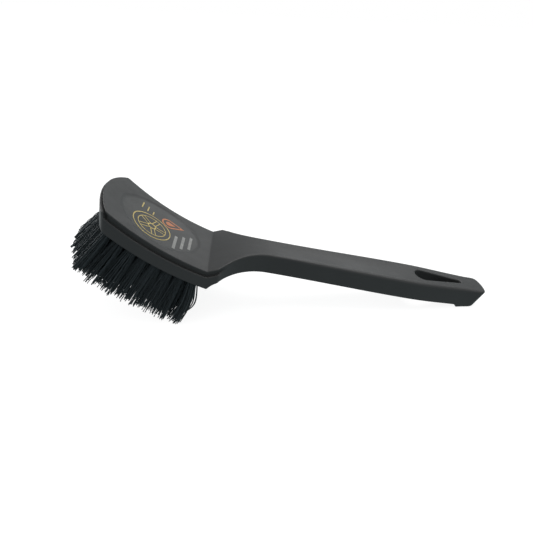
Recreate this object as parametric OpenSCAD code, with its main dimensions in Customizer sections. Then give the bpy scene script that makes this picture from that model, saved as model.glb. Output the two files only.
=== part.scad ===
// Short-handled wheel and tyre scrubbing brush.
// One moulded body carries the head block and the handle. Bundles of bristle are folded round
// steel anchors and driven into blind holes in the underside of the head.
// The shape is drawn in the handle's own frame: X along the handle from the head's corners,
// Y across, Z up, with Z = 0 on the handle's top face. The head's top, its underside and the
// trimmed bristle are cylinders round one axis, which lies above the neck and runs across.
// stand() then leans the whole brush so that it rests on its foot and its last bristle tips.

/* [Head] */
// Half width of the head's lower strip
head_half_w = 26; // [25.5:0.1:26.5]
// Position of the axis that the head is curved round, along X
curve_x = 97; // [96:0.5:98]
// Height of that axis above the handle's top face
curve_z = 150.7; // [150.4:0.1:151.4]
// Radius of the head's top face
top_radius = 165; // [164.5:0.1:165.5]
// Thickness of the head block
block_t = 11.2; // [11:0.1:12.5]
// Radius of the strip's bowed end, seen from above
end_radius = 62; // [58:1:66]
// Position of the middle of the strip's bowed end
end_x = -7.8; // [-8.2:0.1:-7.6]
// Radius of the strip's corners
corner_radius = 3.5; // [2:0.1:4]
// Position of the crease between the head and the neck
crease_x = 57.2; // [56.8:0.1:57.6]

/* [Top face and groove] */
// Half width of the top face
lip_half_w = 25; // [24.7:0.1:25.2]
// Radius of the top face's bowed end
lip_radius = 50; // [46:1:54]
// Position of the middle of the top face's bowed end
lip_x = -6.5; // [-6.8:0.1:-6.1]
// Height of the lip round the top face
lip_h = 0.9; // [0.8:0.1:1.2]
// Height of the shadow groove under the lip
groove_h = 2.8; // [2:0.1:3.2]
// Depth of the groove behind the lip
groove_depth = 1; // [0.7:0.1:1.2]
// Position at which the groove stops, at the corners of the bowed end
groove_x = -1.2; // [-1.6:0.1:-0.8]
// Height of the ledge that runs on under the lip, round the bowed end
ledge_h = 0.7; // [0.5:0.1:1]

/* [Neck and handle] */
// Angle at which the neck climbs from the crease, in degrees
ramp_angle = 24; // [22:0.5:25]
// Radius of the neck's rounded top
ramp_radius = 76; // [70:1:80]
// Slope of the block's heel, in degrees
heel_angle = 52; // [48:1:56]
// Radius of the neck's rounded underside
under_radius = 140; // [120:5:160]
// Half width of the neck at its narrowest
neck_half_w = 10.1; // [9.7:0.1:10.5]
// Position of the narrowest part of the neck
neck_x = 94; // [93:0.5:95]
// Radius of the neck's flare into the head, seen from above
flare_radius = 36.5; // [35.5:0.5:37.5]
// Half width of the grip at its widest
grip_half_w = 12.3; // [12:0.1:13.5]
// Position of the grip's widest part
grip_x = 187; // [184:1:190]
// Half width of the handle's end
tail_half_w = 9; // [8.7:0.1:9.3]
// Position of the handle's end
tail_x = 241.7; // [241.2:0.1:242.2]
// Thickness of the handle
handle_t = 12.9; // [12.6:0.1:13.1]
// Lean of the handle's end wall, in degrees
tail_lean = 17.5; // [16:0.5:19]

/* [Hanging slot] */
// Position of the slot's wide end
slot_x = 192.3; // [192:0.1:193]
// Length of the slot
slot_len = 33.2; // [32:0.1:34]
// Half width of the slot's wide end
slot_half_w = 5.7; // [5.3:0.1:6]

/* [Bristle] */
// Diameter of a bristle hole
hole_d = 4.8; // [4.4:0.1:4.9]
// Depth of a bristle hole along its axis
hole_depth = 7.4; // [7.2:0.1:7.6]
// Position of the middle hole of the first row
first_x = -3.4; // [-3.8:0.1:-2.8]
// Position of the last row
last_x = 49.8; // [49.4:0.1:50.2]
// Distance from one bundle to the next, across a row
bundle_pitch = 7.1; // [7:0.1:7.2]
// Diameter to which a bundle spreads at its trimmed tips
spread_d = 7.5; // [6.4:0.1:7.6]
// Radius of the trimmed bristle face
trim_radius = 205.2; // [205:0.1:205.6]
// Outward splay of the outer bundles, in degrees
splay = 5; // [4:0.1:6]

/* [Stance] */
// Lean of the handle when the brush stands on a table, in degrees
table_lean = 10.5; // [10.4:0.05:10.6]
// Position of the middle of the handle's foot
foot_x = 230.2; // [229.8:0.1:230.6]
// Length of the handle's foot
foot_len = 9.6; // [9:0.1:10]
// How far the foot's middle is below the handle's top face
foot_drop = 13.6; // [13.55:0.05:13.7]

/* [Hidden] */

body_colour = [0.20, 0.20, 0.21];
bristle_colour = [0.05, 0.05, 0.06];
anchor_colour = [0.72, 0.70, 0.62];
wheel_colour = [0.86, 0.74, 0.30];
drop_colour = [0.80, 0.38, 0.20];
bar_colour = [0.90, 0.90, 0.90];

rows = 8;
bundles = 7;
fine = 96;

// ---------- outlines seen from above ----------

// Points of an arc from angle a to angle b.
function arc(cx, cy, r, a, b, n) =
    [for (i = [0:n]) let (t = a + (b - a) * i / n) [cx + r * cos(t), cy + r * sin(t)]];

// Half of a closed outline, and the same outline whole. Its first and last points are off y = 0.
function whole(half) = let (n = len(half))
    concat(half, [for (i = [n - 1:-1:0]) [half[i][0], -half[i][1]]]);

// The head's bowed end and one rounded corner.
function bowed_end(x, r, half_w, corner_r) =
    let (cx = x + r, a = asin((half_w - corner_r) / (r - corner_r)),
         fx = cx - sqrt(pow(r - corner_r, 2) - pow(half_w - corner_r, 2)))
    concat(arc(cx, 0, r, 178, 180 - a, 8),
           [for (p = arc(fx, half_w - corner_r, corner_r, 180 - a, 90, 6)) p]);

// Points of a smooth bend from a to c, which b pulls towards itself.
function bend(a, b, c, n) =
    [for (i = [1:n]) let (t = i / n) (1 - t) * (1 - t) * a + 2 * t * (1 - t) * b + t * t * c];

// Half width of the handle behind the neck.
function blend(t) = t * t * (3 - 2 * t);
function handle_half_w(x) = x < grip_x
    ? neck_half_w + (grip_half_w - neck_half_w) * blend((x - neck_x) / (grip_x - neck_x))
    : grip_half_w + (tail_half_w - grip_half_w) * blend((x - grip_x) / (tail_x - grip_x));

flare_y = neck_half_w + flare_radius;
flare_a = acos((flare_y - head_half_w) / flare_radius);
body_half = concat(
    bowed_end(end_x, end_radius, head_half_w, corner_radius),
    arc(neck_x, flare_y, flare_radius, 270 - flare_a, 270, 14),
    [for (i = [1:14]) let (x = neck_x + (tail_x - 8 - neck_x) * i / 14) [x, handle_half_w(x)]],
    [[tail_x + 6, tail_half_w]]);

module from_above(pts) {
    translate([0, 0, -80]) linear_extrude(160) polygon(pts);
}

// A solid 140 wide with the given outline in the XZ plane.
module from_side(pts) {
    translate([0, 70, 0]) rotate([90, 0, 0]) linear_extrude(140) polygon(pts);
}

// Everything within a radius of the head's axis.
module round_axis(r) {
    translate([curve_x, 70, curve_z]) rotate([90, 0, 0]) cylinder(r = r, h = 140, $fn = 4 * fine);
}

function curve_height(r, x) = curve_z - sqrt(r * r - (x - curve_x) * (x - curve_x));

// ---------- stance ----------

lift_z = foot_x * sin(table_lean) + foot_drop * cos(table_lean);
centre_x = 105.8;
module stand() {
    translate([-centre_x, 0, lift_z]) rotate([0, table_lean, 0]) children();
}

// Everything below the table, in the handle's frame.
module below_table() {
    rotate([0, -table_lean, 0]) translate([-200, -70, -lift_z - 80]) cube([600, 140, 80]);
}

// ---------- moulded body ----------

crease_z = curve_height(top_radius, crease_x);
climb = ramp_radius * (1 - cos(ramp_angle));
climb_x = crease_x + (-crease_z - climb) / tan(ramp_angle);
level_x = climb_x + ramp_radius * sin(ramp_angle);

block_r = top_radius + block_t;
heel_x = crease_x + 1.2;
heel_z = curve_height(block_r, heel_x);
under_angle = 10.6;
under_x = neck_x - 2;
under_pts = arc(under_x, -handle_t - under_radius, under_radius, 90, 90 + under_angle, 8);
under_end = under_pts[len(under_pts) - 1];

// Side view of the neck and the handle.
foot_front = foot_x - foot_len / 2;
handle_profile = concat(
    [[crease_x - 8, heel_z + 1.6], [crease_x - 8, crease_z - 3], [crease_x, crease_z]],
    arc(level_x, -ramp_radius, ramp_radius, 90 + ramp_angle, 90, 10),
    [[tail_x + 8, 0], [tail_x + 8, -handle_t - 4], [foot_front, -handle_t - 4],
     [foot_front - 1.6, -handle_t]],
    under_pts,
    bend(under_end, [heel_x + (under_end[1] - 0.7 - heel_z) / tan(heel_angle), under_end[1] - 0.7],
         [heel_x + 1.6, heel_z + 1.6 * tan(heel_angle)], 6),
    [[heel_x, heel_z]]);

// The handle's end: a prism with rounded corners, leaning under the handle.
tail_corner_r = 4;
tail_bow = 0.6;
module tail_end() {
    squash = cos(tail_lean);
    half = [for (p = concat([[-90, 60], [-9, tail_half_w + 0.9]],
                            arc(-tail_corner_r - tail_bow, tail_half_w - tail_corner_r,
                                tail_corner_r, 84, 6, 8)))
            [p[0] * squash, p[1]]];
    translate([tail_x, 0, 0]) rotate([0, tail_lean, 0]) translate([0, 0, -60])
        linear_extrude(120) polygon(whole(half));
    from_above([[-60, -60], [tail_x - 40, -60], [tail_x - 40, 60], [-60, 60]]);
}

// Slab of the head between two radii.
module head_layer(r_in, r_out, x_end) {
    difference() {
        intersection() {
            round_axis(r_out);
            translate([-20, -60, -40]) cube([x_end + 20, 120, 80]);
        }
        round_axis(r_in);
    }
}

// Everything above a surface that follows the head's top and the neck's climb at depth d.
climb_end = neck_x - sqrt(pow(flare_radius, 2) - pow(flare_y - lip_half_w + groove_depth, 2)) + 0.3;
module above(d) {
    z = curve_height(top_radius + d, crease_x);
    slope = tan(ramp_angle);
    intersection() {
        round_axis(top_radius + d);
        from_side([
            [-30, z - (crease_x + 30) * slope],
            [climb_end, z + (climb_end - crease_x) * slope],
            [climb_end, 60],
            [-30, 60]]);
    }
}

// Everything outside an outline of the head.
module outside(half_w, x, r) {
    half = concat(bowed_end(x, r, half_w, 0.6), [[90, half_w]]);
    difference() {
        translate([-30, -60, -60]) cube([110, 120, 120]);
        from_above(whole(half));
    }
}

// Everything from one position along the head to another.
module between(x_a, x_b) {
    translate([x_a, -60, -60]) cube([x_b - x_a, 120, 120]);
}

module edge_cut() {
    intersection() {
        outside(lip_half_w, lip_x, lip_radius);
        above(lip_h + ledge_h);
        between(-30, groove_x + 1);
    }
    intersection() {
        outside(lip_half_w, lip_x, lip_radius);
        above(lip_h + groove_h);
        between(groove_x, 80);
    }
    intersection() {
        outside(lip_half_w - groove_depth, lip_x + groove_depth, lip_radius);
        difference() {
            above(lip_h + groove_h);
            above(lip_h);
        }
        between(groove_x, 80);
    }
}

// Shallow oval recess for the print.
recess_depth = 0.5;
recess_x = 26.3;
recess_half_l = 24.6;
recess_half_w = 21.4;
module recess() {
    intersection() {
        from_above([for (i = [0:63])
            [recess_x + recess_half_l * cos(i * 360 / 64), recess_half_w * sin(i * 360 / 64)]]);
        round_axis(top_radius + recess_depth);
    }
}

// Teardrop slot to hang the brush by.
slot_tip_r = 1.5;
module slot() {
    wide_x = slot_x + slot_half_w;
    tip_x = slot_x + slot_len - slot_tip_r;
    lean = asin((slot_half_w - slot_tip_r) / (tip_x - wide_x));
    from_above(concat(
        arc(wide_x, 0, slot_half_w, 90 - lean, 270 + lean, 24),
        arc(tip_x, 0, slot_tip_r, 270 + lean, 450 - lean, 6)));
}

// ---------- bristle and anchors ----------

// The first row follows the bowed end and the last row is straight.
row_radius = 58;
function bundle_y(i) = (i - (bundles - 1) / 2) * bundle_pitch;
function bundle_x(row, y) =
    last_x - (1 - row / (rows - 1))
    * (last_x - first_x - row_radius + sqrt(row_radius * row_radius - y * y));

// Places children at a bundle's hole, with -Z pointing out of the block along the bristle.
module at_bundle(row, i) {
    y = bundle_y(i);
    a = asin((curve_x - bundle_x(row, y)) / block_r);
    translate([curve_x, y, curve_z]) rotate([0, a, 0]) translate([0, 0, -block_r])
        rotate([splay * y / (3 * bundle_pitch), 0, 0]) children();
}

anchor_l = 5.6;
anchor_t = 0.5;
anchor_h = 2;
anchor_up = hole_depth - 2.6;
module anchor() {
    translate([-anchor_t / 2, -anchor_l / 2, anchor_up]) cube([anchor_t, anchor_l, anchor_h]);
}

module hole() {
    translate([0, 0, -3]) cylinder(d = hole_d, h = hole_depth + 3, $fn = fine / 2);
}

// One bundle: the folded root that fills its hole, and the spreading free part.
root_out = 1.5;
free_len = trim_radius - block_r;
cone_len = free_len + 6;
module bundle() {
    difference() {
        rotate_extrude($fn = fine / 2) polygon([
            [0, -cone_len],
            [hole_d / 2 + (spread_d - hole_d) / 2 * cone_len / free_len, -cone_len],
            [hole_d / 2, -root_out], [hole_d / 2, hole_depth], [0, hole_depth]]);
        anchor();
    }
}

// ---------- pieces ----------

module moulded_body() {
    color(body_colour) stand() difference() {
        intersection() {
            from_above(whole(body_half));
            union() {
                head_layer(top_radius, block_r, heel_x);
                from_side(handle_profile);
            }
            union() tail_end();
        }
        edge_cut();
        recess();
        slot();
        below_table();
        for (row = [0:rows - 1], i = [0:bundles - 1]) at_bundle(row, i) { hole(); anchor(); }
    }
}

module bristle_row(row) {
    color(bristle_colour) stand() difference() {
        intersection() {
            for (i = [0:bundles - 1]) at_bundle(row, i) bundle();
            round_axis(trim_radius);
        }
        below_table();
    }
}

module anchor_row(row) {
    color(anchor_colour) stand() for (i = [0:bundles - 1]) at_bundle(row, i) anchor();
}

// Ink lies on the floor of the recess.
ink_t = 0.1;
module ink() {
    difference() {
        intersection() {
            translate([0, 0, -80]) linear_extrude(160) children();
            round_axis(top_radius + recess_depth);
            translate([-20, -60, -60]) cube([110, 120, 120]);
        }
        round_axis(top_radius + recess_depth - ink_t);
    }
}

// A line drawing of a wheel, with three streaks behind it.
wheel_at = [21.5, -6.5];
module print_wheel() {
    color(wheel_colour) stand() ink() {
        translate(wheel_at) {
            difference() { circle(r = 11, $fn = fine); circle(r = 10.5, $fn = fine); }
            difference() { circle(r = 8.2, $fn = fine); circle(r = 7.8, $fn = fine); }
            difference() { circle(r = 2.4, $fn = fine); circle(r = 1.8, $fn = fine); }
            for (k = [0:4], side = [-1, 1]) rotate(72 * k)
                translate([2.1, side * 1.1 - 0.2]) square([5.9, 0.4]);
        }
        for (k = [0:2]) translate([12.6 + 3.4 * k, 6.4 - 0.3 * k]) square([0.6, 6.2 - k * k * 0.6]);
    }
}

// A drop of water with a smaller one inside it.
drop_at = [29.6, 7];
function drop_half(r) = concat(arc(0, 0, r, 178, 60, 12), [[2.2 * r, 0.02]]);
module print_drop() {
    color(drop_colour) stand() ink() translate(drop_at) rotate(12) {
        difference() { polygon(whole(drop_half(4.4))); polygon(whole(drop_half(3.5))); }
        polygon(whole(drop_half(1.9)));
    }
}

// Three plain bars.
bar_w = 1.7;
bar_l = 14.2;
bar_at = [[34.9, -16.4], [39.2, -13.2], [43.5, -9.9]];
module print_bars() {
    color(bar_colour) stand() ink() for (b = bar_at) translate(b) square([bar_w, bar_l]);
}

moulded_body();
bristle_row(0);  // bristle_row_1
bristle_row(1);  // bristle_row_2
bristle_row(2);  // bristle_row_3
bristle_row(3);  // bristle_row_4
bristle_row(4);  // bristle_row_5
bristle_row(5);  // bristle_row_6
bristle_row(6);  // bristle_row_7
bristle_row(7);  // bristle_row_8
anchor_row(0);  // anchor_row_1
anchor_row(1);  // anchor_row_2
anchor_row(2);  // anchor_row_3
anchor_row(3);  // anchor_row_4
anchor_row(4);  // anchor_row_5
anchor_row(5);  // anchor_row_6
anchor_row(6);  // anchor_row_7
anchor_row(7);  // anchor_row_8
print_wheel();
print_drop();
print_bars();
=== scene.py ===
import math

import bmesh
import bpy
import numpy as np
from mathutils import Matrix, Vector


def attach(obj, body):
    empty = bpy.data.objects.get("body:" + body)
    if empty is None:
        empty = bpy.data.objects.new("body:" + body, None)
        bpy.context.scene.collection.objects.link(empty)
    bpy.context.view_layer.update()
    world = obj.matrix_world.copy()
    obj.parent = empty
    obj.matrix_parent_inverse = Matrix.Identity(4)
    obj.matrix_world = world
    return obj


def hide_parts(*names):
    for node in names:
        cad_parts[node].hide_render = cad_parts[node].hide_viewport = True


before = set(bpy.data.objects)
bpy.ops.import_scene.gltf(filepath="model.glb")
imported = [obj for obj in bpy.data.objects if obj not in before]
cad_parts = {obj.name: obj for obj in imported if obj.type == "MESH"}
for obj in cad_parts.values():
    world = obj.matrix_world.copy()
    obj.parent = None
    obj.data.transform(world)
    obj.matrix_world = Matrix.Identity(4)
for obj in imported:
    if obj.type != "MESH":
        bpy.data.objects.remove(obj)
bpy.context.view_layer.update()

MM = 0.001

# ---------- the handle's frame: X along the handle, Z = 0 on its top face, in millimetres ----------

TABLE_LEAN = math.radians(10.5)
FOOT_X = 230.2
FOOT_DROP = 13.6
CENTRE_X = 105.8
LIFT = FOOT_X * math.sin(TABLE_LEAN) + FOOT_DROP * math.cos(TABLE_LEAN)
STAND = Matrix.Translation((-CENTRE_X, 0, LIFT)) @ Matrix.Rotation(TABLE_LEAN, 4, "Y")
STAND_NP = np.array(STAND)

# The head's axis, and the radii of its top, its underside and the trimmed bristle about it.
CURVE_X = 97.0
CURVE_Z = 150.7
TOP_R = 165.0
BLOCK_R = 176.2
TRIM_R = 205.2

# The bundles of bristle.
ROWS = 8
BUNDLES = 7
PITCH = 7.1
FIRST_X = -3.4
LAST_X = 49.8
ROW_R = 58.0
SPLAY = 5.0
HOLE_R = 2.4
HOLE_DEPTH = 7.4

# The recess for the print, and how wide its sloping edge is.
RECESS_X = 26.3
RECESS_HALF = (24.6, 21.4)
RECESS_DEPTH = 0.5
RECESS_SLOPE = 2.3


def to_row_frame(points):
    """Points in the handle's frame, in millimetres, moved to the row frame, in metres."""
    return (points @ STAND_NP[:3, :3].T + STAND_NP[:3, 3]) * MM


# ---------- stage ----------

# The colour of the room's light at the horizon and overhead.
LOW_LIGHT = (0.36, 0.42, 0.43)
HIGH_LIGHT = (0.62, 0.62, 0.62)


def make_camera():
    """The photograph's camera, in front of the object, above it and slightly to the left."""
    azimuth, elevation, roll = (math.radians(a) for a in (-3.773, 32.25, 2.872))
    data = bpy.data.cameras.new("camera")
    data.sensor_width = 36
    data.lens = 28.377
    data.clip_start = 0.01
    data.clip_end = 50
    camera = bpy.data.objects.new("camera", data)
    camera.matrix_world = (
        Matrix.Translation((-0.03074, -0.22821, 0.16831))
        @ Matrix.Rotation(azimuth, 4, "Z")
        @ Matrix.Rotation(math.pi / 2 - elevation, 4, "X")
        @ Matrix.Rotation(roll, 4, "Z")
    )
    bpy.context.scene.collection.objects.link(camera)
    bpy.context.scene.camera = camera


def area_light(name, at, aim, size, watts):
    """A round soft light at one place, turned towards another."""
    data = bpy.data.lights.new(name, "AREA")
    data.shape = "DISK"
    data.size = size
    data.energy = watts
    light = bpy.data.objects.new(name, data)
    light.location = at
    light.rotation_mode = "QUATERNION"
    light.rotation_quaternion = (Vector(aim) - Vector(at)).to_track_quat("-Z", "Y")
    bpy.context.scene.collection.objects.link(light)


def make_world():
    """A soft studio: bright overhead, dimmer towards the horizon, and plain white behind the object."""
    world = bpy.data.worlds.new("studio")
    bpy.context.scene.world = world
    world.use_nodes = True
    tree = world.node_tree
    link = tree.links.new
    place = tree.nodes.new("ShaderNodeTexCoord")
    parts = tree.nodes.new("ShaderNodeSeparateXYZ")
    link(place.outputs["Generated"], parts.inputs["Vector"])
    ramp = tree.nodes.new("ShaderNodeValToRGB")
    link(parts.outputs["Z"], ramp.inputs["Fac"])
    ramp.color_ramp.elements[0].position = 0.0
    ramp.color_ramp.elements[0].color = (*LOW_LIGHT, 1)
    ramp.color_ramp.elements[1].position = 0.9
    ramp.color_ramp.elements[1].color = (*HIGH_LIGHT, 1)
    room = tree.nodes["Background"]
    link(ramp.outputs["Color"], room.inputs["Color"])
    white = tree.nodes.new("ShaderNodeBackground")
    white.inputs["Color"].default_value = (1, 1, 1, 1)
    rays = tree.nodes.new("ShaderNodeLightPath")
    choose = tree.nodes.new("ShaderNodeMixShader")
    link(rays.outputs["Is Camera Ray"], choose.inputs[0])
    link(room.outputs["Background"], choose.inputs[1])
    link(white.outputs["Background"], choose.inputs[2])
    link(choose.outputs["Shader"], tree.nodes["World Output"].inputs["Surface"])


def make_floor():
    """A plain pale floor, which doesn't light the object or show in it."""
    side = 6.0
    corners = [(-side, -side, 0), (side, -side, 0), (side, side, 0), (-side, side, 0)]
    mesh = bpy.data.meshes.new("floor")
    mesh.from_pydata(corners, [], [(0, 1, 2, 3)])
    floor = bpy.data.objects.new("floor", mesh)
    floor.visible_glossy = False
    floor.visible_diffuse = False
    bpy.context.scene.collection.objects.link(floor)
    material = bpy.data.materials.new("pale_floor")
    material.use_nodes = True
    shader = material.node_tree.nodes["Principled BSDF"]
    shader.inputs["Base Color"].default_value = (0.22, 0.22, 0.22, 1)
    shader.inputs["Roughness"].default_value = 0.9
    shader.inputs["Specular IOR Level"].default_value = 0.1
    shader.inputs["Emission Color"].default_value = (1, 1, 1, 1)
    shader.inputs["Emission Strength"].default_value = 0.89
    mesh.materials.append(material)


def make_stage():
    """The room, four soft lights and the floor."""
    bpy.context.scene.view_settings.view_transform = "Standard"
    make_world()
    area_light("key", (0.3, 0.25, 1.02), (0, 0, 0), 0.9, 6.4)
    area_light("fill", (-0.5, 0.1, 0.9), (0, 0, 0), 0.9, 0.8)
    area_light("back", (0.46, 1.05, 0.45), (0, 0, 0.04), 0.5, 1.0)
    area_light("rim", (-0.9, 0.35, 0.2), (-0.1, 0, 0.05), 0.5, 5)
    make_floor()


# ---------- materials ----------

class Nodes:
    """Builds one node material with short calls."""

    def __init__(self, name):
        self.material = bpy.data.materials.new(name)
        self.material.use_nodes = True
        self.tree = self.material.node_tree
        self.shader = self.tree.nodes["Principled BSDF"]
        self.place = self.add("ShaderNodeTexCoord").outputs["Object"]

    def add(self, kind, **values):
        node = self.tree.nodes.new(kind)
        for key, value in values.items():
            setattr(node, key, value)
        return node

    def join(self, source, target):
        self.tree.links.new(source, target)

    def stretched(self, scale):
        mapping = self.add("ShaderNodeMapping")
        mapping.inputs["Scale"].default_value = scale
        self.join(self.place, mapping.inputs["Vector"])
        return mapping.outputs["Vector"]

    def noise(self, scale, detail, place=None):
        node = self.add("ShaderNodeTexNoise")
        node.inputs["Scale"].default_value = scale
        node.inputs["Detail"].default_value = detail
        self.join(place or self.place, node.inputs["Vector"])
        return node.outputs["Fac"]

    def ramp(self, source, low, high, a, b):
        """Turns source from low to high into a value from a to b."""
        node = self.add("ShaderNodeMapRange")
        for name, value in (("From Min", low), ("From Max", high), ("To Min", a), ("To Max", b)):
            node.inputs[name].default_value = value
        self.join(source, node.inputs["Value"])
        return node.outputs["Result"]

    def math(self, operation, a, b):
        node = self.add("ShaderNodeMath", operation=operation)
        for socket, value in zip(node.inputs, (a, b)):
            if isinstance(value, (int, float)):
                socket.default_value = value
            else:
                self.join(value, socket)
        return node.outputs[0]

    def mix(self, share, a, b):
        """A colour between a and b; each is a colour or a socket."""
        node = self.add("ShaderNodeMix", data_type="RGBA")
        self.join(share, node.inputs["Factor"])
        for socket, value in ((node.inputs[6], a), (node.inputs[7], b)):
            if isinstance(value, tuple):
                socket.default_value = (*value, 1)
            else:
                self.join(value, socket)
        return node.outputs[2]

    def recess(self):
        """How far a point is from the recess's middle, where 1 is the recess's edge."""
        parts = self.add("ShaderNodeSeparateXYZ")
        self.join(self.place, parts.inputs["Vector"])
        from_origin = self.math("ADD", parts.outputs["X"], CENTRE_X * MM)
        from_top = self.math("ADD", parts.outputs["Z"], -LIFT * MM)
        along = self.math("MULTIPLY", from_origin, math.cos(TABLE_LEAN))
        along = self.math("SUBTRACT", along, self.math("MULTIPLY", from_top, math.sin(TABLE_LEAN)))
        along = self.math("DIVIDE", self.math("ADD", along, -RECESS_X * MM), RECESS_HALF[0] * MM)
        across = self.math("DIVIDE", parts.outputs["Y"], RECESS_HALF[1] * MM)
        squares = self.math("ADD", self.math("POWER", along, 2.0), self.math("POWER", across, 2.0))
        return self.math("SQRT", squares, 0.0)

    def bump(self, height, depth, strength, below=None):
        node = self.add("ShaderNodeBump")
        node.inputs["Distance"].default_value = depth
        node.inputs["Strength"].default_value = strength
        self.join(height, node.inputs["Height"])
        if below:
            self.join(below, node.inputs["Normal"])
        return node.outputs["Normal"]

    def set(self, **values):
        """Sets or joins the shader's sockets, with _ for a space in a socket's name."""
        for key, value in values.items():
            socket = self.shader.inputs[key.replace("_", " ")]
            if isinstance(value, (int, float)):
                socket.default_value = value
            elif isinstance(value, tuple):
                socket.default_value = (*value, 1)
            else:
                self.join(value, socket)
        return self.material


def body_plastic():
    """Black polypropylene with a fine spark-eroded grain, faint flow marks and light handling scuffs."""
    n = Nodes("satin_black_polypropylene")
    mottle = n.noise(38, 4)
    flow = n.noise(1, 3, n.stretched((14, 160, 160)))
    grain = n.noise(2600, 1.5)
    scuffs = n.ramp(n.noise(1, 5, n.stretched((60, 900, 900))), 0.62, 0.78, 0, 1)
    colour = n.mix(n.ramp(mottle, 0.3, 0.7, 0, 1), (0.030, 0.030, 0.0305), (0.036, 0.036, 0.0365))
    colour = n.mix(n.math("MULTIPLY", scuffs, 0.25), colour, (0.075, 0.075, 0.075))
    # the recess for the print is smoother than the rest; its lighter colour is a painted sheen
    inside = n.ramp(n.recess(), 0.93, 0.97, 1, 0)
    colour = n.mix(n.math("MULTIPLY", inside, 0.35), colour, (0.046, 0.046, 0.045))
    rough = n.math("ADD", n.ramp(mottle, 0.3, 0.7, 0.46, 0.54), n.ramp(flow, 0.3, 0.7, -0.03, 0.03))
    rough = n.math("SUBTRACT", rough, n.math("MULTIPLY", inside, 0.05))
    normal = n.bump(grain, 0.00006, 0.5)
    normal = n.bump(scuffs, 0.00002, 0.3, normal)
    return n.set(Base_Color=colour, Roughness=rough, Specular_IOR_Level=0.4, Normal=normal)


def bristle_filament():
    """Black crimped polypropylene filament, each strand a little different."""
    n = Nodes("black_crimped_filament")
    strand = n.add("ShaderNodeNewGeometry").outputs["Random Per Island"]
    # lengthwise streaks: a fine bump, and a lighter colour along them that is a painted highlight
    streak_bump_and_highlight = n.noise(1, 2, n.stretched((700, 700, 90)))
    colour = n.mix(strand, (0.020, 0.0250, 0.028), (0.039, 0.048, 0.0535))
    colour = n.mix(n.ramp(streak_bump_and_highlight, 0.4, 0.7, 0, 0.4), colour, (0.044, 0.053, 0.058))
    rough = n.ramp(strand, 0, 1, 0.46, 0.62)
    normal = n.bump(streak_bump_and_highlight, 0.00003, 0.3)
    return n.set(Base_Color=colour, Roughness=rough, Specular_IOR_Level=0.25, Normal=normal)


def wire():
    """Flat drawn steel wire, with the die's lines along it."""
    n = Nodes("drawn_steel_wire")
    lines = n.noise(1, 3, n.stretched((9000, 900, 9000)))
    colour = n.mix(n.ramp(lines, 0.3, 0.7, 0, 1), (0.50, 0.49, 0.46), (0.66, 0.64, 0.60))
    rough = n.ramp(lines, 0.3, 0.7, 0.28, 0.45)
    return n.set(Base_Color=colour, Metallic=1.0, Roughness=rough, Normal=n.bump(lines, 0.00001, 0.4))


def ink(name, dark, light):
    """Pad-printed ink: thin over the grain, mottled, with a few worn specks."""
    n = Nodes(name)
    film = n.noise(420, 4)
    specks = n.ramp(n.noise(1500, 3), 0.66, 0.72, 0, 1)
    colour = n.mix(n.ramp(film, 0.3, 0.7, 0, 1), dark, light)
    colour = n.mix(n.math("MULTIPLY", specks, 0.7), colour, (0.04, 0.04, 0.04))
    rough = n.ramp(film, 0.3, 0.7, 0.40, 0.55)
    normal = n.bump(n.noise(2600, 1.5), 0.00004, 0.4)
    return n.set(Base_Color=colour, Roughness=rough, Specular_IOR_Level=0.4, Normal=normal)


def dress(node, material):
    """Gives a CAD node that stays in the picture its material."""
    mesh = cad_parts[node].data
    mesh.materials.clear()
    mesh.materials.append(material)


# ---------- bristle ----------

def bundle_place(row, i):
    """Where a bundle stands: +Z runs out of the block along the bristle, from the block's underside."""
    y = (i - (BUNDLES - 1) / 2) * PITCH
    bow = LAST_X - FIRST_X - ROW_R + math.sqrt(ROW_R ** 2 - y * y)
    x = LAST_X - (1 - row / (ROWS - 1)) * bow
    lean = math.asin((CURVE_X - x) / BLOCK_R)
    splay = math.radians(SPLAY) * y / ((BUNDLES - 1) / 2 * PITCH)
    return (
        Matrix.Translation((CURVE_X, y, CURVE_Z))
        @ Matrix.Rotation(lean, 4, "Y")
        @ Matrix.Translation((0, 0, -BLOCK_R))
        @ Matrix.Rotation(splay, 4, "X")
        @ Matrix.Rotation(math.pi, 4, "X")
    )


# Each bundle has this many filaments. A filament is a tube of so many rings with so many sides, and
# starts inside the hole. Its tip joins one of the bundle's locks.
FILAMENTS = 80
FILAMENT_R = 0.24
RINGS = 26
SIDES = 5
ROOT = -4.6
LOCKS = 20


def bundle_ends(row, i, rng):
    """Where one bundle's filaments start and end, across the bundle, and which lock each one joins."""
    count = FILAMENTS
    # roots spread evenly in the hole, by the sunflower rule
    k = np.arange(count) + 0.5
    reach = np.sqrt(k / count) * (HOLE_R - FILAMENT_R)
    angle = k * math.pi * (3 - math.sqrt(5)) + rng.uniform(0, 6.28)
    root = np.stack([reach * np.cos(angle), reach * np.sin(angle)], 1) + rng.normal(0, 0.06, (count, 2))
    # tips fan out, then gather into a few locks
    tip = root * rng.uniform(2.5, 2.8) + rng.normal(0, 0.6, (count, 2)) + rng.normal(0, 0.3, 2)
    locks = rng.uniform(-6.2, 6.2, (LOCKS, 2))
    lock = np.argmin(((tip[:, None] - locks[None]) ** 2).sum(2), 1)
    pull = rng.uniform(0.05, 0.3, LOCKS)[lock][:, None]
    tip = tip * (1 - pull) + locks[lock] * pull
    wild = rng.random(count) < 0.04
    tip[wild] += rng.uniform(-2, 2, (wild.sum(), 2))
    # the outermost bundles fan out less on their free side
    if row == 0:
        tip[:, 0] = np.where(tip[:, 0] < 0, tip[:, 0] * 0.55, tip[:, 0])
    if row == ROWS - 1:
        tip[:, 0] = np.where(tip[:, 0] > 0, tip[:, 0] * 0.6, tip[:, 0])
    # use has pushed the far corner of the bowed end outwards
    tip[:, 0] -= max(0.0, 3.2 - 1.8 * row) * max(0.0, i - 2.0) / 4
    return root, tip, lock


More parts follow.
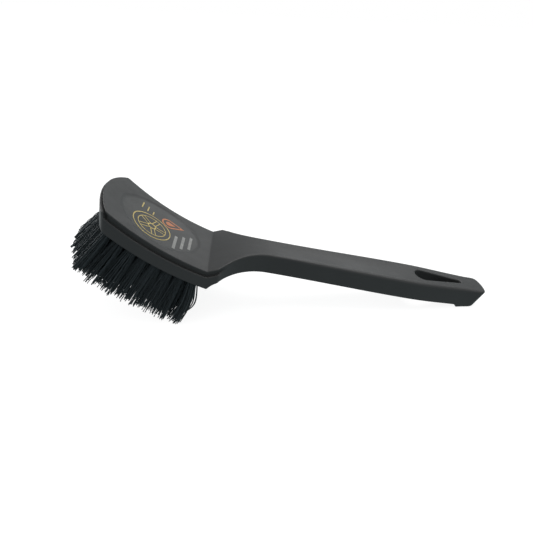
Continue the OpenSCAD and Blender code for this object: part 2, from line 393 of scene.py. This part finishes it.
def bundle_lengths(row, i, rng, tip, lock):
    """How far each filament stands out of the block, so that its tip lies on the trimmed surface."""
    # the trim differs a little from lock to lock and from strand to strand
    trim = TRIM_R + 0.2 + rng.normal(0, 0.6, LOCKS)[lock] + rng.normal(0, 0.5, FILAMENTS)
    if row == 0:
        trim += np.interp(i, (1, 2, 6), (-0.9, 0.6, 1.8))
    else:
        trim += 0.6
    trim += np.where(rng.random(FILAMENTS) < 0.05, rng.uniform(0.3, 1.5, FILAMENTS), 0)
    trim -= np.where(rng.random(FILAMENTS) < 0.08, rng.uniform(0.5, 3.0, FILAMENTS), 0)
    place = np.array(bundle_place(row, i))
    length = np.full(FILAMENTS, TRIM_R - BLOCK_R)
    for _ in range(3):
        ends = np.concatenate([tip, length[:, None]], 1) @ place[:3, :3].T + place[:3, 3]
        length += trim - np.hypot(ends[:, 0] - CURVE_X, ends[:, 2] - CURVE_Z)
    return length


def bundle_paths(row, i, rng):
    """The centre lines of one bundle's filaments in the handle's frame: paths by rings by 3."""
    count = FILAMENTS
    root, tip, lock = bundle_ends(row, i, rng)
    length = bundle_lengths(row, i, rng, tip, lock)
    out = ROOT + (length - ROOT)[:, None] * np.linspace(0, 1, RINGS)
    share = np.clip(out / length[:, None], 0, 1)
    bend = share ** rng.uniform(0.4, 0.7, (count, 1))
    # crimp
    wave = rng.uniform(5.6, 7.4, (count, 1))
    phase = rng.uniform(0, 2 * math.pi, (count, 1))
    swing = rng.uniform(0.08, 0.20, (count, 1)) * np.clip(out / 4, 0, 1)
    facing = rng.uniform(0, 2 * math.pi, (count, 1))
    crimp = swing * np.sin(2 * math.pi * out / wave + phase)
    path = np.empty((count, RINGS, 3))
    path[..., 0] = root[:, :1] + (tip - root)[:, :1] * bend + crimp * np.cos(facing)
    path[..., 1] = root[:, 1:] + (tip - root)[:, 1:] * bend + crimp * np.sin(facing)
    # use has bulged the near bundles of the last row
    if row == ROWS - 1:
        path[..., 0] += 2.6 * max(0.0, 3.0 - i) / 3 * np.sin(0.84 * math.pi * share)
    path[..., 2] = out
    place = np.array(bundle_place(row, i))
    return path @ place[:3, :3].T + place[:3, 3]


# Strands behind the last row that use has bent: points of the outermost one, and how far the
# others lie inside it.
BENT = (
    (52.6, -20.6, -14.4), (52.4, -20.4, -18.9), (52.8, -20.0, -22.1), (53.3, -19.6, -25.6),
    (53.6, -19.2, -29.6), (53.9, -19.0, -34.1), (53.7, -19.0, -37.6), (52.6, -19.0, -40.6),
    (50.9, -19.0, -43.2), (49.0, -19.0, -45.1),
)
BENT_SHIFT = (
    (0, 0), (-0.2, 0.3), (-0.25, -0.3), (-0.5, 0),
    (-1.5, 0.2), (-1.7, 0.5), (-1.9, 0.1),
)


def bent_paths():
    """The centre lines of the bent strands, as smooth curves near their points."""
    made = []
    for inward, aside in BENT_SHIFT:
        points = np.array(BENT)
        share = np.sin(np.linspace(0, math.pi, len(points)))[:, None]
        points = points + share * (inward, aside, 0.6 * abs(inward))
        at = np.linspace(0, len(points) - 1, 400)
        fine = np.stack([np.interp(at, range(len(points)), column) for column in points.T], 1)
        for _ in range(900):
            fine[1:-1] += (fine[:-2] + fine[2:] - 2 * fine[1:-1]) / 3
        made.append(fine[np.linspace(0, 399, RINGS).astype(int)])
    return np.array(made)


def cut_at_table(paths, gap):
    """Shortens each path that reaches the table, so that its end stands on it."""
    for path in paths:
        height = to_row_frame(path)[:, 2] / MM
        if height[-1] >= gap:
            continue
        last = int(np.argmax(height < gap))
        share = (height[last - 1] - gap) / (height[last - 1] - height[last])
        stop = last - 1 + share
        at = np.linspace(0, stop, len(path))
        lower = np.minimum(at.astype(int), len(path) - 2)
        part = (at - lower)[:, None]
        path[:] = path[lower] * (1 - part) + path[lower + 1] * part
    return paths


def tubes(name, paths, radius, sides):
    """One mesh of closed round strands along the paths, which are in the handle's frame."""
    count, rings = paths.shape[:2]
    along = np.gradient(paths, axis=1)
    along /= np.linalg.norm(along, axis=2, keepdims=True)
    across = np.cross(along, np.array([0.0, 1.0, 0.0]))
    across /= np.linalg.norm(across, axis=2, keepdims=True)
    third = np.cross(along, across)
    angle = np.arange(sides) * 2 * math.pi / sides
    ring = across[:, :, None] * np.cos(angle)[:, None] + third[:, :, None] * np.sin(angle)[:, None]
    points = to_row_frame((paths[:, :, None] + ring * radius).reshape(-1, 3))
    index = np.arange(count * rings * sides).reshape(count, rings, sides)
    a, b = index[:, :-1], index[:, 1:]
    walls = np.stack([a, np.roll(a, -1, 2), np.roll(b, -1, 2), b], -1).reshape(-1, 4)
    ends = np.concatenate([index[:, 0, ::-1], index[:, -1]])
    mesh = bpy.data.meshes.new(name)
    mesh.from_pydata(points.tolist(), [], walls.tolist() + ends.tolist())
    smooth = np.ones(len(mesh.polygons), bool)
    smooth[len(walls):] = False
    mesh.polygons.foreach_set("use_smooth", smooth)
    mesh.update()
    piece = bpy.data.objects.new(name, mesh)
    bpy.context.scene.collection.objects.link(piece)
    return piece


def make_bristle(material):
    """One piece of filaments for each row of bundles."""
    for row in range(ROWS):
        rng = np.random.default_rng(40 + row)
        paths = np.concatenate([bundle_paths(row, i, rng) for i in range(BUNDLES)])
        if row == ROWS - 1:
            paths = np.concatenate([paths, bent_paths()])
        piece = tubes(f"bristle_{row + 1}", cut_at_table(paths, FILAMENT_R + 0.05), FILAMENT_R, SIDES)
        piece.data.materials.append(material)
        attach(piece, "root")
        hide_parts(f"bristle_row_{row + 1}")


# ---------- body: one closed skin of rings round the outline, from the top face to the underside ----------

# The head's strip, lip and groove.
HEAD_HALF_W = 26.0
END_X = -7.8
END_R = 62.0
CORNER_R = 3.5
LIP_IN = 1.0
LIP_H = 0.9
GROOVE_IN = 2.0
GROOVE_FLOOR = 3.7
GROOVE_X = -1.2
LEDGE_FLOOR = 1.6
CREASE_X = 57.2

# The neck and the handle.
RAMP_SLOPE = math.tan(math.radians(24))
RAMP_R = 76.0
HEEL_X = 58.4
HEEL_SLOPE = math.tan(math.radians(52))
UNDER_R = 140.0
UNDER_X = 92.0
UNDER_ANGLE = math.radians(10.6)
NECK_X = 94.0
NECK_HALF_W = 10.1
FLARE_R = 36.5
GRIP_X = 187.0
GRIP_HALF_W = 12.3
TAIL_X = 241.7
TAIL_HALF_W = 9.0
TAIL_CORNER_R = 4.0
TAIL_BOW = 0.6
TAIL_SLOPE = math.tan(math.radians(17.5))
HANDLE_T = 12.9
FOOT_FRONT = 225.4

# How many steps the skin has across each end, and along a side from one x to the next.
ACROSS = 80
ALONG = ((CREASE_X, 92), (66.0, 24), (NECK_X, 34), (190.0, 56), (226.0, 22), (230.5, 12), (None, 12))


def arc(cx, cy, r, a, b, n):
    """Points of a circle's arc from angle a to angle b, in degrees."""
    t = np.radians(np.linspace(a, b, n))
    return np.stack([cx + r * np.cos(t), cy + r * np.sin(t)], 1)


def smooth_step(t):
    t = np.clip(t, 0, 1)
    return t * t * (3 - 2 * t)


def handle_half_w(x):
    """Half of the handle's width, which grows from the neck to the grip and shrinks to the end."""
    rising = NECK_HALF_W + (GRIP_HALF_W - NECK_HALF_W) * smooth_step((x - NECK_X) / (GRIP_X - NECK_X))
    falling = GRIP_HALF_W + (TAIL_HALF_W - GRIP_HALF_W) * smooth_step((x - GRIP_X) / (TAIL_X - GRIP_X))
    return np.where(x < GRIP_X, rising, falling)


def half_outline():
    """Half of the outline seen from above, from the middle of the head's end to the handle's end."""
    corner = math.degrees(math.asin((HEAD_HALF_W - CORNER_R) / (END_R - CORNER_R)))
    bow_x = END_X + END_R
    corner_x = bow_x - math.sqrt((END_R - CORNER_R) ** 2 - (HEAD_HALF_W - CORNER_R) ** 2)
    flare_y = NECK_HALF_W + FLARE_R
    flare = math.degrees(math.acos((flare_y - HEAD_HALF_W) / FLARE_R))
    grip = np.linspace(NECK_X, TAIL_X - TAIL_CORNER_R - TAIL_BOW, 400)
    tail_y = TAIL_HALF_W - TAIL_CORNER_R
    tail_bow_r = (tail_y ** 2 + TAIL_BOW ** 2) / (2 * TAIL_BOW)
    end_y = np.linspace(tail_y - 0.2, 0, 40)
    pieces = [
        arc(bow_x, 0, END_R, 180, 180 - corner, 200),
        arc(corner_x, HEAD_HALF_W - CORNER_R, CORNER_R, 180 - corner, 90, 60),
        arc(NECK_X, flare_y, FLARE_R, 270 - flare, 270, 400),
        np.stack([grip, handle_half_w(grip)], 1),
        arc(TAIL_X - TAIL_CORNER_R - TAIL_BOW, tail_y, TAIL_CORNER_R, 86, 8, 60),
        np.stack([TAIL_X - end_y ** 2 / (2 * tail_bow_r), end_y], 1),
    ]
    points = np.concatenate(pieces)
    step = np.r_[True, np.linalg.norm(np.diff(points, axis=0), axis=1) > 0.001]
    points = points[step]
    # even steps, then a light smoothing that rounds the corner where the flare starts
    length = np.r_[0, np.cumsum(np.linalg.norm(np.diff(points, axis=0), axis=1))]
    even = np.linspace(0, length[-1], 3001)
    points = np.stack([np.interp(even, length, points[:, 0]), np.interp(even, length, points[:, 1])], 1)
    for _ in range(120):
        points[1:-1] += (points[:-2] + points[2:] - 2 * points[1:-1]) / 4
    return points


def sample_outline():
    """Points and inward normals of the head's end, one side and the handle's end, each as an array."""
    fine = half_outline()
    mirrored = np.concatenate([fine[1:2] * (1, -1), fine, fine[-2:-1] * (1, -1)])
    along = mirrored[2:] - mirrored[:-2]
    along /= np.linalg.norm(along, axis=1, keepdims=True)
    normal = np.stack([along[:, 1], -along[:, 0]], 1)
    length = np.r_[0, np.cumsum(np.linalg.norm(np.diff(fine, axis=0), axis=1))]
    turned = np.degrees(np.arctan2(along[:, 1], along[:, 0]))
    # a side starts and stops where the outline runs at 45 degrees
    start = length[np.argmax(turned < 45)]
    stop = length[len(turned) - 1 - np.argmax(turned[::-1] > -45)]
    stations = [start]
    for x, count in ALONG:
        reach = stop if x is None else length[np.argmax(fine[:, 0] >= x)]
        stations += list(np.linspace(stations[-1], reach, count + 1)[1:])

    def at(where):
        pick = [np.interp(where, length, column) for column in (*fine.T, *normal.T)]
        return np.stack(pick, 1)

    half = ACROSS // 2 + 1
    end = at(np.linspace(0, start, half))
    tail = at(np.linspace(stop, length[-1], half))
    return end, at(np.array(stations)), tail


def outline_ring():
    """The whole outline as a closed ring of points and normals, and how many steps a side has."""
    end, side, tail = sample_outline()
    flip = np.array([1, -1, 1, -1])
    far_end = np.concatenate([(end * flip)[:0:-1], end])
    far_tail = np.concatenate([tail, (tail * flip)[-2::-1]])
    ring = np.concatenate([far_end, side[1:], far_tail[1:], (side * flip)[-2:0:-1]])
    return ring, len(side) - 1


def cylinder_z(radius, x):
    """Height of a cylinder of a radius about the head's axis."""
    return CURVE_Z - np.sqrt(radius ** 2 - (x - CURVE_X) ** 2)


def top_z(x, depth):
    """Height of the surface a given depth under the top face."""
    head = cylinder_z(TOP_R + depth, np.minimum(x, CREASE_X))
    crease_z = cylinder_z(TOP_R, CREASE_X)
    climb = RAMP_R * (1 - math.cos(math.atan(RAMP_SLOPE)))
    climb_x = CREASE_X + (-crease_z - climb) / RAMP_SLOPE
    level_x = climb_x + RAMP_R * math.sin(math.atan(RAMP_SLOPE))
    ramp = crease_z + (x - CREASE_X) * RAMP_SLOPE
    crown = np.sqrt(RAMP_R ** 2 - np.clip(level_x - x, 0, RAMP_R / 2) ** 2) - RAMP_R
    neck = np.where(x < climb_x, ramp, crown)
    # a depth is square to the face on the head and straight down on the handle
    drop = 1 + 0.03 * np.clip((80 - x) / (80 - CREASE_X), 0, 1)
    return np.where(x < CREASE_X, head, neck - depth * drop)


def under_z(x, height):
    """Height of the surface a given height over the underside."""
    heel_z = float(cylinder_z(BLOCK_R, HEEL_X))
    end_x = UNDER_X - UNDER_R * math.sin(UNDER_ANGLE)
    end_z = -HANDLE_T - UNDER_R * (1 - math.cos(UNDER_ANGLE))
    # the heel rises straight at first, then bends over into the neck
    rise_x, rise_z = HEEL_X + 1.6, heel_z + 1.6 * HEEL_SLOPE
    pull_x, pull_z = HEEL_X + (end_z - 0.7 - heel_z) / HEEL_SLOPE, end_z - 0.7
    t = np.linspace(0, 1, 30)
    bend_x = (1 - t) ** 2 * rise_x + 2 * t * (1 - t) * pull_x + t * t * end_x
    bend_z = (1 - t) ** 2 * rise_z + 2 * t * (1 - t) * pull_z + t * t * end_z
    # behind the step, the foot goes down to the table
    table = (x * math.sin(TABLE_LEAN) - LIFT) / math.cos(TABLE_LEAN)
    step = -HANDLE_T - np.clip((x - FOOT_FRONT + 1.6) * 2.5, 0, 4)
    neck = np.sqrt(UNDER_R ** 2 - np.clip(UNDER_X - x, 0, UNDER_R / 2) ** 2) - UNDER_R
    under = np.where(x < UNDER_X, neck - HANDLE_T, np.maximum(step, table))
    heel = np.interp(x, np.r_[HEEL_X, bend_x], np.r_[heel_z, bend_z])
    tail = np.where(x < end_x, heel, under) + height
    return np.where(x < HEEL_X, cylinder_z(BLOCK_R - height, np.minimum(x, HEEL_X)), tail)


def round_over(radius, count, inset=0.0, level=0.0):
    """Steps of an outward quarter round from a face to a wall, as (inset, depth) pairs."""
    turn = np.radians(np.linspace(0, 90, count))
    return [(inset + radius * (1 - math.sin(a)), level + radius * (1 - math.cos(a))) for a in turn]


# The steps of the head's side from the top face down to the strip, as (inset, depth) pairs. The
# first LIP_STEPS make the lip and, farther along, the handle's rounded upper edge. The last
# LEDGE_STEPS make the strip's upper edge.
LIP_STEPS = 9
LEDGE_STEPS = 5
HEAD_STEPS = (
    round_over(0.5, 6, LIP_IN)
    + [(LIP_IN, LIP_H - 0.18), (LIP_IN + 0.05, LIP_H - 0.05), (LIP_IN + 0.18, LIP_H)]
    + [(GROOVE_IN - 0.25, LIP_H), (GROOVE_IN - 0.07, LIP_H + 0.07), (GROOVE_IN, LIP_H + 0.25)]
    + [(GROOVE_IN, GROOVE_FLOOR - 0.4), (GROOVE_IN - 0.1, GROOVE_FLOOR - 0.1)]
    + [(GROOVE_IN - 0.4, GROOVE_FLOOR)]
    + round_over(0.5, LEDGE_STEPS, 0, GROOVE_FLOOR)
)
# The same steps at the bowed end, where the groove is only a line under the lip.
END_STEPS = (
    HEAD_STEPS[:LIP_STEPS]
    + [(LIP_IN + 0.3, LIP_H + 0.02), (LIP_IN + 0.38, LIP_H + 0.1), (LIP_IN + 0.4, LIP_H + 0.25)]
    + [(LIP_IN + 0.4, LEDGE_FLOOR - 0.25), (LIP_IN + 0.3, LEDGE_FLOOR - 0.1), (LIP_IN + 0.1, LEDGE_FLOOR)]
    + round_over(1.1, LEDGE_STEPS, 0, LEDGE_FLOOR)
)
# The radius of the handle's upper edge at five places along it, the depth of the grip's dish, and
# the radius of the handle's lower edge.
HANDLE_EDGE_X = (70, 130, 215, 232, 239)
HANDLE_EDGE = (1.0, 2.0, 2.3, 2.0, 1.2)
DISH = 0.5
FOOT_EDGE = 0.7


def body_layers(ring):
    """The inset and the height of every layer's points, from the top face down to the underside."""
    x = ring[:, 0]
    # 0 on the head and 1 on the handle
    handle = smooth_step((x - 63.4) / 5.0)
    radius = np.interp(x, HANDLE_EDGE_X, HANDLE_EDGE)
    # the top face stands farther back at the head's bowed end, most of all at its corners
    back = 0.3 + 0.9 * (ring[:, 1] / 24) ** 2
    back *= 1 - smooth_step((x + 3.0) / 4.5)
    # 1 at the bowed end, falling to 0 where the groove starts
    end = 1 - smooth_step((x - GROOVE_X + 1.2) / 1.6)
    plain = np.linspace(0.15, 1, len(HEAD_STEPS) - LIP_STEPS)
    insets, heights = [], []
    for k, (side_step, end_step) in enumerate(zip(HEAD_STEPS, END_STEPS)):
        inset, depth = (a + (b - a) * end for a, b in zip(side_step, end_step))
        if k < LIP_STEPS:
            a = math.pi / 2 * k / (LIP_STEPS - 1)
            grip_inset, grip_depth = radius * (1 - math.sin(a)), radius * (1 - math.cos(a))
        else:
            grip_inset, grip_depth = 0 * x, radius + (4.4 - radius) * plain[k - LIP_STEPS]
        if k < len(HEAD_STEPS) - LEDGE_STEPS:
            inset = inset + back
        insets.append(inset * (1 - handle) + grip_inset * handle)
        heights.append(("top", depth * (1 - handle) + grip_depth * handle))
    edge = 0.45 + (FOOT_EDGE - 0.45) * handle
    for inset, height in reversed(round_over(1.0, 5)):
        insets.append(inset * edge)
        heights.append(("under", height * edge))
    return insets, heights


def leaned(x, z):
    """Where a point stands along the handle once the handle's end leans back."""
    return x + z * TAIL_SLOPE * np.clip((x - 205) / 28, 0, 1)


def stand_under(x, height):
    """Place and height of a point over the underside, given its place on the top face's outline."""
    z = under_z(x, height)
    for _ in range(12):
        z = under_z(leaned(x, z), height)
    return leaned(x, z), z


def place_flat(ring, inset):
    """The ring's points moved inwards, seen from above."""
    return ring[:, 0] + ring[:, 2] * inset, ring[:, 1] + ring[:, 3] * inset


def place_layer(ring, inset, kind, amount):
    """The points of one layer, whose heights are depths under the top face or over the underside."""
    x, y = place_flat(ring, inset)
    if kind == "top":
        z = top_z(x, amount)
        x = leaned(x, z)
    else:
        x, z = stand_under(x, amount)
    return np.stack([x, y, z], 1)


def recess_depth(x, y):
    """How far the top face is sunk at a point."""
    a, b = RECESS_HALF
    r = np.hypot((x - RECESS_X) / a, y / b)
    return RECESS_DEPTH * smooth_step((1 - r) * (a + b) / 2 / RECESS_SLOPE)


def dish_depth(grid):
    """How far the grip's top face is dished at each point of a grid across it."""
    x, y = grid[..., 0], grid[..., 1]
    across = np.clip(1 - (y / grid[:, -1:, 1]) ** 2, 0, 1)
    along = smooth_step((x - 80) / 40) * smooth_step((200 - x) / 30)
    return DISH * across * along


def cap_grid(points, side):
    """A grid across a closed ring: its ribs follow the bowed end near the head's end and the tail."""
    xy = points[:, :2]
    end = xy[: ACROSS + 1]
    near = xy[ACROSS: ACROSS + side + 1]
    tail = xy[ACROSS + side: 2 * ACROSS + side + 1][::-1]
    far = np.concatenate([xy[:1], xy[: 2 * ACROSS + side - 1: -1]])
    v = np.linspace(0, 1, ACROSS + 1)[None, :, None]
    u = near[:, 0]
    grid = far[:, None] * (1 - v) + near[:, None] * v
    at_end = 1 - smooth_step((u - u[0]) / (48 - u[0]))[:, None, None]
    at_tail = smooth_step((u - 228) / (u[-1] - 228))[:, None, None]
    grid = grid + at_end * (end[None] - (end[:1] * (1 - v) + end[-1:] * v))
    return grid + at_tail * (tail[None] - (tail[:1] * (1 - v) + tail[-1:] * v))


def body_mesh():
    """The moulding without its holes: walls of rings round the outline, and a grid on either face."""
    ring, side = outline_ring()
    size = len(ring)
    insets, heights = body_layers(ring)
    points = [place_layer(ring, i, kind, amount) for i, (kind, amount) in zip(insets, heights)]
    faces = []
    for k in range(len(points) - 1):
        a = np.arange(size) + k * size
        b = np.roll(a, -1)
        faces.append(np.stack([a, b, b + size, a + size], 1))
    start = size * len(points)
    for face, inset in (("top", insets[0]), ("under", insets[-1])):
        grid = cap_grid(np.stack(place_flat(ring, inset), 1), side)
        x, y = grid[..., 0], grid[..., 1]
        if face == "top":
            z = top_z(x, recess_depth(x, y) + dish_depth(grid))
        else:
            x, z = stand_under(x, 0.0)
        cap = np.stack([x, y, z], 2)
        index = np.arange(cap.shape[0] * cap.shape[1]).reshape(cap.shape[:2]) + start
        start += index.size
        points.append(cap.reshape(-1, 3))
        corners = [index[:-1, :-1], index[:-1, 1:], index[1:, 1:], index[1:, :-1]]
        quads = np.stack(corners[::-1] if face == "top" else corners, -1)
        faces.append(quads.reshape(-1, 4))
    places = to_row_frame(np.concatenate(points))
    data = bpy.data.meshes.new("moulded_handle_and_head")
    data.from_pydata(places.tolist(), [], np.concatenate(faces).tolist())
    mesh = bmesh.new()
    mesh.from_mesh(data)
    bmesh.ops.remove_doubles(mesh, verts=mesh.verts, dist=0.0005 * MM)
    bmesh.ops.recalc_face_normals(mesh, faces=mesh.faces)
    mesh.to_mesh(data)
    mesh.free()
    return data


def slot_cutter():
    """A solid of the hanging slot, which widens at both faces so that it leaves rounded rims."""
    wide_x, wide_r, tip_x, tip_r = 198.0, 5.7, 224.0, 1.5
    lean = math.degrees(math.asin((wide_r - tip_r) / (tip_x - wide_x)))
    top, under = 0.8, 0.5
    rims = [(-16.0, under), (-HANDLE_T, under)]
    for a in np.radians([25, 50, 90]):
        rims.append((-HANDLE_T + under * math.sin(a), under * (1 - math.cos(math.pi / 2 - a))))
    for a in np.radians([0, 22, 45, 65, 80, 90]):
        rims.append((-top + top * math.sin(a), top * (1 - math.cos(a))))
    rims.append((3.0, top))
    rings = []
    for z, grow in rims:
        wide = arc(wide_x, 0, wide_r + grow, 90 - lean, 270 + lean, 40)
        tip = arc(tip_x, 0, tip_r + grow, 270 + lean, 450 - lean, 14)
        xy = np.concatenate([wide, tip])
        rings.append(np.concatenate([xy, np.full((len(xy), 1), z)], 1))
    return solids_of_rings("slot_cutter", [rings])


def hole_cutters():
    """The solids of the blind holes that the bundles stand in."""
    made = []
    for row in range(ROWS):
        for i in range(BUNDLES):
            place = np.array(bundle_place(row, i))
            circle = arc(0, 0, HOLE_R, 0, 345, 24)
            rings = [np.concatenate([circle, np.full((24, 1), z)], 1) for z in (3.0, -HOLE_DEPTH)]
            made.append([ring @ place[:3, :3].T + place[:3, 3] for ring in rings])
    return solids_of_rings("hole_cutters", made)


def solids_of_rings(name, solids):
    """An object of closed solids, each a stack of rings of points in the handle's frame."""
    points, faces, start = [], [], 0
    for rings in solids:
        size = len(rings[0])
        points += [to_row_frame(ring) for ring in rings]
        for k in range(len(rings) - 1):
            a = np.arange(size) + start + k * size
            b = np.roll(a, -1)
            faces += np.stack([a, b, b + size, a + size], 1).tolist()
        faces.append(list(range(start, start + size))[::-1])
        start += size * len(rings)
        faces.append(list(range(start - size, start)))
    data = bpy.data.meshes.new(name)
    data.from_pydata(np.concatenate(points).tolist(), [], faces)
    mesh = bmesh.new()
    mesh.from_mesh(data)
    bmesh.ops.recalc_face_normals(mesh, faces=mesh.faces)
    mesh.to_mesh(data)
    mesh.free()
    cutter = bpy.data.objects.new(name, data)
    bpy.context.scene.collection.objects.link(cutter)
    return cutter


def cut(piece, cutter):
    """Cuts one solid out of a piece for good."""
    modifier = piece.modifiers.new("cut", "BOOLEAN")
    modifier.operation = "DIFFERENCE"
    modifier.solver = "MANIFOLD"
    modifier.object = cutter
    bpy.context.view_layer.update()
    whole = piece.evaluated_get(bpy.context.evaluated_depsgraph_get())
    data = bpy.data.meshes.new_from_object(whole)
    piece.modifiers.remove(modifier)
    piece.data = data
    bpy.data.objects.remove(cutter)


def make_body(material):
    """The moulding as the CAD has it, with rounded edges and a slightly dished grip."""
    piece = bpy.data.objects.new("moulded_handle_and_head", body_mesh())
    bpy.context.scene.collection.objects.link(piece)
    cut(piece, slot_cutter())
    cut(piece, hole_cutters())
    piece.data.materials.clear()
    piece.data.materials.append(material)
    piece.data.polygons.foreach_set("use_smooth", np.ones(len(piece.data.polygons), bool))
    piece.data.set_sharp_from_angle(angle=math.radians(50))
    shading = piece.modifiers.new("shading", "WEIGHTED_NORMAL")
    shading.keep_sharp = True
    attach(piece, "root")
    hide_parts("moulded_body")


make_stage()
make_camera()

make_body(body_plastic())
metal = wire()
for row in range(ROWS):
    dress(f"anchor_row_{row + 1}", metal)
dress("print_wheel", ink("yellow_ink", (0.42, 0.32, 0.10), (0.56, 0.44, 0.16)))
dress("print_drop", ink("orange_ink", (0.38, 0.13, 0.055), (0.50, 0.20, 0.09)))
dress("print_bars", ink("white_ink", (0.17, 0.17, 0.165), (0.26, 0.26, 0.25)))
make_bristle(bristle_filament())
